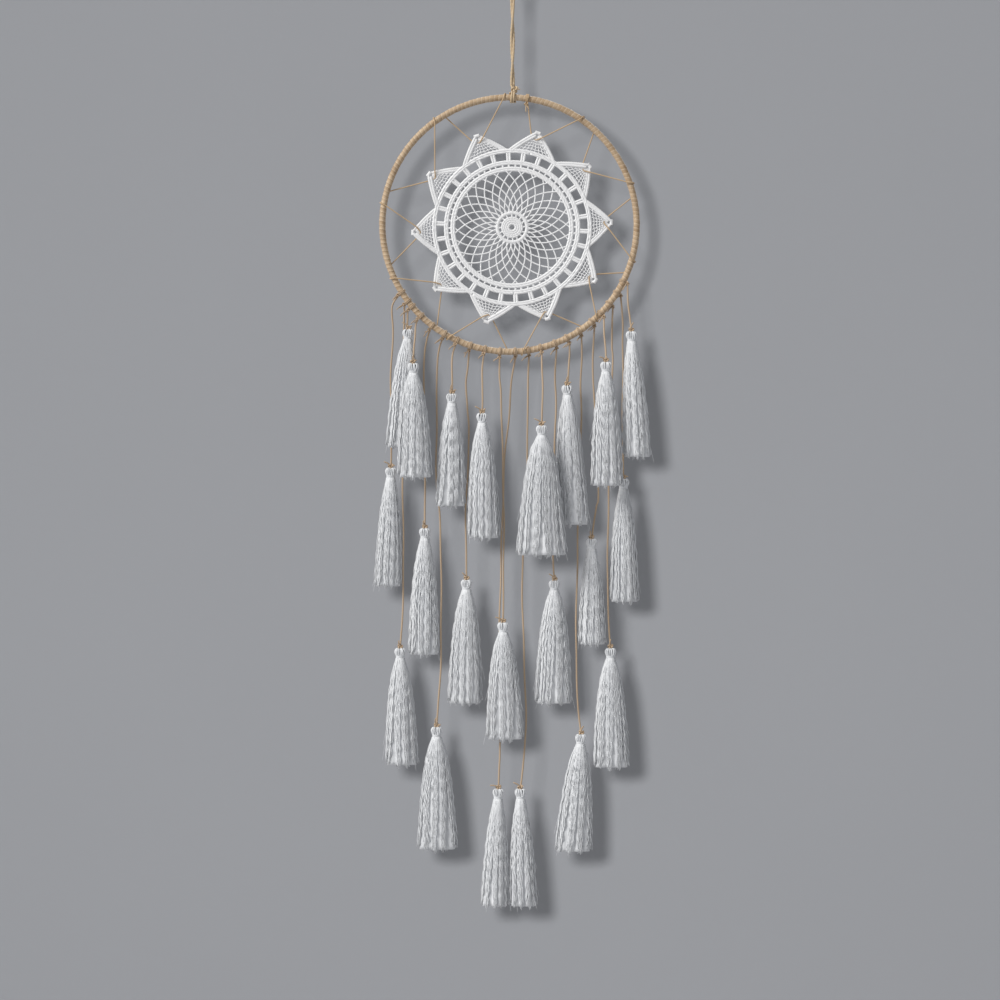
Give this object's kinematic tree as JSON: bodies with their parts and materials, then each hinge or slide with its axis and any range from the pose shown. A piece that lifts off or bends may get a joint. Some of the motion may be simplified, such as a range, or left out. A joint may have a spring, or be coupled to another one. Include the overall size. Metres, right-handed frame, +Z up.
{
  "type": "dream catcher wall hanging",
  "caption": "Wall hanging: a tape-wrapped hoop with a crocheted star doily laced into it, hung by a looped cord, with a fringe of silky tassels on thin cords below.",
  "frame": {"origin": "top of the hanging loop, where a nail or hook carries it", "axes": "+Z up, the front faces -Y, +X to the right as seen from the front"},
  "size_m": [0.2124, 0.029, 0.7295],
  "materials": {
    "jute": "two-ply twisted natural cord, matt",
    "wire": "plain wire, hidden by the tape",
    "tape": "tan crepe tape wound over itself, satin",
    "lace": "white crocheted cotton, matt",
    "waxed_cord": "tan waxed cord, slight sheen",
    "fringe_cord": "tan twisted cord, slight sheen",
    "silk": "pale grey silky thread, crimped, satin sheen"
  },
  "bodies": {
    "hanging_cord": {"hang_cord": "jute", "loop_knot": "jute"},
    "hanger": {"hanger_knot": "jute"},
    "hoop": {"hoop_core": "wire", "hoop_wrap": "tape", "doily": "lace", "lacing_cord": "waxed_cord", "lacing_knot": "waxed_cord", "fringe_ties": "fringe_cord"},
    "strand_01": {"cord_01": "fringe_cord", "tassel_01": "silk"},
    "strand_02": {"cord_02": "fringe_cord", "tassel_02": "silk"},
    "strand_03": {"cord_03": "fringe_cord", "tassel_03": "silk"},
    "strand_04": {"cord_04": "fringe_cord", "tassel_04": "silk"},
    "strand_05": {"cord_05": "fringe_cord", "tassel_05": "silk"},
    "strand_06": {"cord_06": "fringe_cord", "tassel_06": "silk"},
    "strand_07": {"cord_07": "fringe_cord", "tassel_07": "silk"},
    "strand_08": {"cord_08": "fringe_cord", "tassel_08": "silk"},
    "strand_09": {"cord_09": "fringe_cord", "tassel_09": "silk"},
    "strand_10": {"cord_10": "fringe_cord", "tassel_10": "silk"},
    "strand_11": {"cord_11": "fringe_cord", "tassel_11": "silk"},
    "strand_12": {"cord_12": "fringe_cord", "tassel_12": "silk"},
    "strand_13": {"cord_13": "fringe_cord", "tassel_13": "silk"},
    "strand_14": {"cord_14": "fringe_cord", "tassel_14": "silk"},
    "strand_15": {"cord_15": "fringe_cord", "tassel_15": "silk"},
    "strand_16": {"cord_16": "fringe_cord", "tassel_16": "silk"},
    "strand_17": {"cord_17": "fringe_cord", "tassel_17": "silk"},
    "strand_18": {"cord_18": "fringe_cord", "tassel_18": "silk"},
    "strand_19": {"cord_19": "fringe_cord", "tassel_19": "silk"},
    "strand_20": {"cord_20": "fringe_cord", "tassel_20": "silk"},
    "strand_21": {"cord_21": "fringe_cord", "tassel_21": "silk"}
  },
  "joints": [
    {"name": "hoop_turn", "type": "hinge", "parent": "hanging_cord", "child": "hanger", "pos_m": [0, 0, -0.09825], "axis": [0, 0, 1], "range_deg": [-90, 90]},
    {"name": "hoop_tilt", "type": "hinge", "parent": "hanger", "child": "hoop", "pos_m": [0, 0, -0.1076], "axis": [1, 0, 0], "range_deg": [-30, 30]},
    {"name": "strand_01_swing", "type": "hinge", "parent": "hoop", "child": "strand_01", "pos_m": [-0.08786, 0.00252, -0.26077], "axis": [-1, 0, 0], "range_deg": [-30, 0]},
    {"name": "strand_02_swing", "type": "hinge", "parent": "hoop", "child": "strand_02", "pos_m": [-0.08297, 0.00252, -0.26789], "axis": [-1, 0, 0], "range_deg": [-30, 0]},
    {"name": "strand_03_swing", "type": "hinge", "parent": "hoop", "child": "strand_03", "pos_m": [-0.08028, 0, -0.27254], "axis": [0, 1, 0], "range_deg": [0, 20]},
    {"name": "strand_04_swing", "type": "hinge", "parent": "hoop", "child": "strand_04", "pos_m": [-0.07272, -0.00252, -0.27951], "axis": [-1, 0, 0], "range_deg": [0, 30]},
    {"name": "strand_05_swing", "type": "hinge", "parent": "hoop", "child": "strand_05", "pos_m": [-0.06365, 0.00252, -0.28734], "axis": [-1, 0, 0], "range_deg": [-30, 0]},
    {"name": "strand_06_swing", "type": "hinge", "parent": "hoop", "child": "strand_06", "pos_m": [-0.05387, 0.00252, -0.29395], "axis": [-1, 0, 0], "range_deg": [-30, 0]},
    {"name": "strand_07_swing", "type": "hinge", "parent": "hoop", "child": "strand_07", "pos_m": [-0.04403, -0.00252, -0.29908], "axis": [-1, 0, 0], "range_deg": [0, 30]},
    {"name": "strand_08_swing", "type": "hinge", "parent": "hoop", "child": "strand_08", "pos_m": [-0.03334, 0.00252, -0.30322], "axis": [-1, 0, 0], "range_deg": [-30, 0]},
    {"name": "strand_09_swing", "type": "hinge", "parent": "hoop", "child": "strand_09", "pos_m": [-0.02209, -0.00252, -0.30615], "axis": [-1, 0, 0], "range_deg": [0, 30]},
    {"name": "strand_10_swing", "type": "hinge", "parent": "hoop", "child": "strand_10", "pos_m": [-0.00993, 0, -0.30861], "axis": [-1, 0, 0], "range_deg": [0, 30]},
    {"name": "strand_11_swing", "type": "hinge", "parent": "hoop", "child": "strand_11", "pos_m": [0.00228, 0.00252, -0.308], "axis": [-1, 0, 0], "range_deg": [-30, 0]},
    {"name": "strand_12_swing", "type": "hinge", "parent": "hoop", "child": "strand_12", "pos_m": [0.01263, 0.00252, -0.307], "axis": [-1, 0, 0], "range_deg": [-30, 0]},
    {"name": "strand_13_swing", "type": "hinge", "parent": "hoop", "child": "strand_13", "pos_m": [0.02231, -0.00252, -0.30506], "axis": [-1, 0, 0], "range_deg": [0, 30]},
    {"name": "strand_14_swing", "type": "hinge", "parent": "hoop", "child": "strand_14", "pos_m": [0.03373, 0.00252, -0.30146], "axis": [-1, 0, 0], "range_deg": [-30, 0]},
    {"name": "strand_15_swing", "type": "hinge", "parent": "hoop", "child": "strand_15", "pos_m": [0.0436, 0, -0.29796], "axis": [0, 1, 0], "range_deg": [-6, 0]},
    {"name": "strand_16_swing", "type": "hinge", "parent": "hoop", "child": "strand_16", "pos_m": [0.05286, 0.00252, -0.29171], "axis": [-1, 0, 0], "range_deg": [-30, 0]},
    {"name": "strand_17_swing", "type": "hinge", "parent": "hoop", "child": "strand_17", "pos_m": [0.06289, 0.00252, -0.28425], "axis": [-1, 0, 0], "range_deg": [-30, 0]},
    {"name": "strand_18_swing", "type": "hinge", "parent": "hoop", "child": "strand_18", "pos_m": [0.06986, -0.00252, -0.27777], "axis": [-1, 0, 0], "range_deg": [0, 30]},
    {"name": "strand_19_swing", "type": "hinge", "parent": "hoop", "child": "strand_19", "pos_m": [0.07686, 0.00252, -0.26984], "axis": [-1, 0, 0], "range_deg": [-30, 0]},
    {"name": "strand_20_swing", "type": "hinge", "parent": "hoop", "child": "strand_20", "pos_m": [0.08298, 0.00252, -0.26122], "axis": [-1, 0, 0], "range_deg": [-30, 0]},
    {"name": "strand_21_swing", "type": "hinge", "parent": "hoop", "child": "strand_21", "pos_m": [0.08793, -0.00252, -0.25248], "axis": [-1, 0, 0], "range_deg": [0, 30]}
  ]
}
